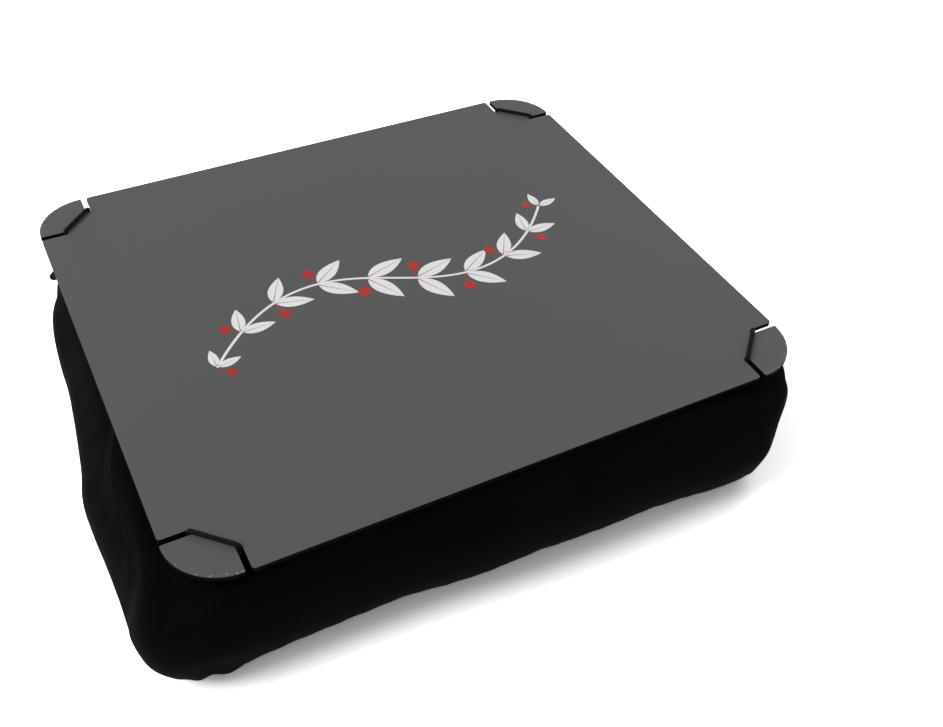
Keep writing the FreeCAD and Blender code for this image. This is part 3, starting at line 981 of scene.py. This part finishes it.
def stitch_piece():
    """A bead of thread along x, thick in its middle and thin at its sunk ends."""
    rings = []
    for place, share in STITCH_PROFILE:
        along = np.full(STITCH_SIDES, STITCH_LENGTH * place)
        rings.append(np.column_stack([along, circle(STITCH_RADIUS * share, STITCH_SIDES)]))
    return mesh_piece("stitch", *flipped(tube(rings)), thread)


def zip_frame():
    """The corners of the stitched line around the zipper, on the cover's back wall."""
    wide = ZIP_HALF + STITCHES_PAST
    corners = []
    for turn in (-1, 1):
        height = ZIP_HEIGHT + turn * STITCHES_ACROSS
        wall = BOARD[1] / 2 + np.interp(height, band_rows[:, 0], band_rows[:, 1])
        corners += [(turn * wide, wall, height), (-turn * wide, wall, height)]
    return corners


def zip_stitches():
    """Stitches along the line around the zipper."""
    make = Recipe("zip_stitches_line", Spacing=STITCH_SPACING * MM)
    line = {"Curve": make.base(), "Length": make.size("Spacing")}
    dots, tangent = make.node("GeometryNodeCurveToPoints", line, ("Points", "Tangent"), mode="LENGTH")
    turn = make.node("FunctionNodeAlignRotationToVector", {"Vector": tangent}, axis="X")
    make.end(make.repeat(stitch_piece(), dots, Rotation=turn), thread)
    piece = make.run("zip_stitches", curve_piece("zip_stitches", zip_frame(), "POLY", closed=True))
    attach(piece, "cushion")


zip_stitches()


# The printed sprig

INK_DEPTH, INK_GAP = 0.06, 0.02
PRINT_HEIGHT = BOARD_TOP + INK_GAP + INK_DEPTH / 2
TWIG_ROUTE = ((-132, -30), (-96, 14), (-34, 30), (30, -22), (92, -10), (128, 34))
TWIG_WIDTH = 1.8
LEAF_LENGTH, LEAF_WIDTH, LEAF_FOOT, LEAF_SPLAY = 31.0, 12.5, 2.0, 0.68
VEIN_FOOT, VEIN_TIP = 0.35, 0.05
BERRY_RADIUS, BERRY_FOOT, STALK_LENGTH, BERRY_SPLAY = 4.2, 1.6, 8.0, 1.68
STALK_FOOT_HALF, STALK_TIP_HALF, STALK_GAP = 0.5, 0.4, 0.1
SPRIG_COUNT = 10
LEAF_TIP_SHARE, BERRY_TIP_SHARE = 0.5, 0.7  # sizes at the twig's ends


def turned(outline, angle):
    cosine, sine = math.cos(angle), math.sin(angle)
    return [(x * cosine - y * sine, x * sine + y * cosine) for x, y in outline]


def leaf_pair():
    """Two pointed leaves across the twig, each in two halves beside a bare vein."""
    shares = np.linspace(0, 1, 9)
    edge = LEAF_WIDTH / 2 * np.sin(np.pi * shares**0.8) ** 0.9
    vein = VEIN_TIP + (VEIN_FOOT - VEIN_TIP) * (1 - shares)
    along = LEAF_FOOT + LEAF_LENGTH * shares
    half = [*zip(along, vein), *list(zip(along, edge))[-2:0:-1]]
    other = [(x, -y) for x, y in half[::-1]]
    return [turned(each, angle) for angle in (LEAF_SPLAY, -LEAF_SPLAY) for each in (half, other)]


def berry():
    """A round berry on a short stalk."""
    end = BERRY_FOOT + STALK_LENGTH
    disc = circle(BERRY_RADIUS, count=18) + (end + BERRY_RADIUS, 0)
    stalk = both_sides([(end - STALK_GAP, STALK_TIP_HALF), (BERRY_FOOT, STALK_FOOT_HALF)])
    return [disc, stalk]


def along_twig(name, outlines, ink, stem=0.0, **sizes):
    """Prints a shape along the twig, smaller towards its ends, and the twig itself if it has a width."""
    printed = joined([prism(outline, INK_DEPTH / 2) for outline in outlines])
    shape = mesh_piece("shape", *printed, ink, smooth=False)
    if stem:
        sizes["Stem"] = stem * MM
    make = Recipe(name + "_print", Count=SPRIG_COUNT, **sizes)
    line = {"Curve": make.base(), "Count": make.size("Count")}
    dots, tangent = make.node("GeometryNodeCurveToPoints", line, ("Points", "Tangent"))
    number = make.node("GeometryNodeInputIndex")
    side = make.maths("MODULO", number, 2.0) * 2 - 1
    share = number / (make.size("Count") - 1)
    middle = 1 - make.maths("ABSOLUTE", share * 2 - 1)
    size = make.size("Tip") + (1 - make.size("Tip")) * middle ** 0.6
    turn = make.node("FunctionNodeAlignRotationToVector", {"Vector": tangent}, axis="X", pivot_axis="Z")
    splay = make.triple(Z=side * make.size("Splay"))
    splay = make.node("FunctionNodeEulerToRotation", {0: splay})
    turn = make.node("FunctionNodeRotateRotation", {0: turn, 1: splay}, rotation_space="LOCAL")
    drawn = make.repeat(shape, dots, Rotation=turn, Scale=make.triple(X=size, Y=size, Z=1.0))
    if stem:
        level = make.node("GeometryNodeSetCurveNormal", {0: make.base()}, mode="Z_UP")
        across = {"Width": make.size("Stem"), "Height": INK_DEPTH * MM}
        across = make.node("GeometryNodeCurvePrimitiveQuadrilateral", across)
        drawn = make.node("GeometryNodeJoinGeometry", {0: [drawn, make.sweep(level, across)]})
    make.end(drawn, ink, smooth=False)
    route = [(x, y, PRINT_HEIGHT) for x, y in TWIG_ROUTE]
    piece = make.run(name, curve_piece("twig", route, "NURBS", order=4, steps=24))
    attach(piece, "board")


along_twig("printed_leaves", leaf_pair(), white_ink, stem=TWIG_WIDTH, Splay=0.0, Tip=LEAF_TIP_SHARE)
along_twig("printed_berries", berry(), red_ink, Splay=BERRY_SPLAY, Tip=BERRY_TIP_SHARE)


# Elastic loops

SEWN_SINK = 3.0  # how far below the top seam an end is sewn in
LEAD_BACK, LEAD_ASIDE, LEAD_DROP = 4.0, 0.6, 2.0  # where a cord turns up into its slit
TURN_IN = 2.2  # where it has turned over the slit's edge
STRANDS = 6
BRAID_TURN, BRAID_RADIUS, BRAID_WEAVE, YARN_RADIUS, BRAID_STEP = 9.0, 0.92, 0.17, 0.41, 0.5


def loop_route(side, end):
    """Points that the cord follows: from its seam up one slit, over the corner and down the other."""

    def at(from_side, from_end, height):
        return np.array([side * (BOARD[0] / 2 - from_side), end * (BOARD[1] / 2 - from_end), height])

    over = BOARD_TOP + RUN_GAP + ELASTIC_RADIUS
    under = BOARD_BOTTOM - RUN_GAP - ELASTIC_RADIUS
    half = SEAT_SPREAD / (2 * math.sqrt(2))
    half_route = [
        at(SEAT_INSET - half, SEAT_INSET + half, TOP_SEAM - SEWN_SINK),
        at(SLIT_SEAT - LEAD_ASIDE, SLIT_FROM_CORNER - LEAD_BACK, under - LEAD_DROP),
        at(SLIT_SEAT, SLIT_FROM_CORNER, under),
        at(SLIT_SEAT, SLIT_FROM_CORNER, (over + under) / 2),
        at(SLIT_SEAT, SLIT_FROM_CORNER, over),
        at(SLIT_SEAT + TURN_IN, SLIT_FROM_CORNER - TURN_IN, over),
    ]
    other = []
    for point in half_route[::-1]:
        from_side, from_end = BOARD / 2 - np.abs(point[:2])
        other.append(at(from_end, from_side, point[2]))
    route = np.array(half_route + other)
    sewn_ends = route[[0, -1]]
    route[[0, -1]] = np.sign(sewn_ends) * np.minimum(np.abs(sewn_ends), np.abs(lean(sewn_ends)))
    return route


def braided(name, route):
    """A round braid along a smooth curve: two sets of strands that wind opposite ways over a core."""
    make = Recipe(
        name + "_braid", Strands=STRANDS, Turn=BRAID_TURN * MM, Radius=BRAID_RADIUS * MM,
        Weave=BRAID_WEAVE * MM, Yarn=YARN_RADIUS * MM, Step=BRAID_STEP * MM,
    )

    def round_sweep(curve, sides, radius):
        sizes = {"Resolution": sides, "Radius": make.size(radius)}
        return make.sweep(curve, make.node("GeometryNodeCurvePrimitiveCircle", sizes))

    line = {"Curve": make.base(), "Length": make.size("Step")}
    curve = make.node("GeometryNodeResampleCurve", line, mode="LENGTH")
    curve = make.node("GeometryNodeSetCurveNormal", {0: curve}, mode="MINIMUM_TWIST")
    copies = {"Geometry": curve, "Amount": make.size("Strands") * 2}
    outputs = ("Geometry", "Duplicate Index")
    strands, number = make.node("GeometryNodeDuplicateElements", copies, outputs, domain="SPLINE")
    way = (number < make.size("Strands") - 0.5) * 2 - 1
    wind = make.node("GeometryNodeSplineParameter", output="Length") * math.tau / make.size("Turn")
    angle = number * math.tau / make.size("Strands") + way * wind
    crossing = make.maths("COSINE", wind * make.size("Strands"))
    radius = make.size("Radius") + way * make.size("Weave") * crossing
    normal = make.node("GeometryNodeInputNormal")
    across = make.vectors("CROSS_PRODUCT", make.node("GeometryNodeInputTangent"), normal)
    first = make.vectors("MULTIPLY", normal, make.maths("COSINE", angle) * radius)
    second = make.vectors("MULTIPLY", across, make.maths("SINE", angle) * radius)
    offset = make.vectors("ADD", first, second)
    strands = make.node("GeometryNodeSetPosition", {"Geometry": strands, "Offset": offset})
    both = [round_sweep(strands, 5, "Yarn"), round_sweep(curve, 8, "Radius")]
    make.end(make.node("GeometryNodeJoinGeometry", {0: both}), braid)
    return make.run(name, curve_piece(name + "_route", route, "NURBS", order=3))


for end, end_name in ((-1, "front"), (1, "back")):
    for side, side_name in ((-1, "left"), (1, "right")):
        corner_name = end_name + "_" + side_name
        loop = braided("loop_" + corner_name, loop_route(side, end))
        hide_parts("elastic_" + corner_name)
        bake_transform(loop)


# Floor, light and camera

FLOOR_HALF = 4000.0
FLOOR_LIGHT, FLOOR_LOOK = (0.9, 0.9, 0.9), (2.6, 2.6, 2.6)
STUDIO_LIGHT = 0.36
LAMPS = (("key", (-2.0, 0.3, 2.1), 2.2, 57.0), ("fill", (1.8, 1.0, 1.5), 1.8, 12.0))  # metres, watts
LAMP_AIM = Vector((0, 0, 0.05))
CAMERA_PLACE = (-0.2282, -0.5204, 0.5427)
CAMERA_RIGHT = Vector((0.88783, -0.45926, 0.02902))
CAMERA_UP = Vector((0.29554, 0.61739, 0.72903))
CAMERA_LOOK = Vector((0.35273, 0.63868, -0.68387))
CAMERA_LENS = 41.84


def looked_at(tree):
    """1 where a surface is seen, straight or in a reflection, and 0 where it lights something."""
    kinds = ("Is Camera Ray", "Is Glossy Ray", "Is Transmission Ray")
    return sum(tree.node("ShaderNodeLightPath", output=kinds))


def stage_floor():
    """A white floor that shows as overexposed paper, but for the object's shadow."""
    white = Finish("white_floor", specular=0.0, Roughness=0.9)
    white.colour(looked_at(white), FLOOR_LIGHT, FLOOR_LOOK)
    corners = [(x * FLOOR_HALF, y * FLOOR_HALF, 0) for x, y in ((-1, -1), (1, -1), (1, 1), (-1, 1))]
    mesh_piece("floor", corners, [(0, 1, 2, 3)], white)


def light_scene():
    """Two lamps in a white studio, which is dimmer as a light than it looks."""
    scene.world = bpy.data.worlds.new("studio")
    scene.world.use_nodes = True
    studio = Tree(scene.world.node_tree)
    sky = studio.tree.nodes["Background"].inputs
    studio.feed(sky["Color"], (1, 1, 1, 1))
    studio.feed(sky["Strength"], STUDIO_LIGHT + looked_at(studio) * (1 - STUDIO_LIGHT))
    for name, place, size, power in LAMPS:
        data = bpy.data.lights.new(name, "AREA")
        data.shape, data.size, data.energy = "DISK", size, power
        lamp = link(name, data)
        lamp.location = place
        lamp.rotation_euler = (LAMP_AIM - Vector(place)).to_track_quat("-Z", "Y").to_euler()


def photo_camera():
    """The camera that the board's outline in the photo was fitted with."""
    data = bpy.data.cameras.new("photo_view")
    data.lens = CAMERA_LENS
    data.clip_start, data.clip_end = 0.01, 50.0
    camera = link("photo_view", data)
    turn = Matrix((CAMERA_RIGHT, CAMERA_UP, -CAMERA_LOOK)).transposed()
    camera.matrix_world = Matrix.Translation(CAMERA_PLACE) @ turn.to_4x4()
    scene.camera = camera


stage_floor()
light_scene()
photo_camera()
scene.view_settings.view_transform = "Standard"
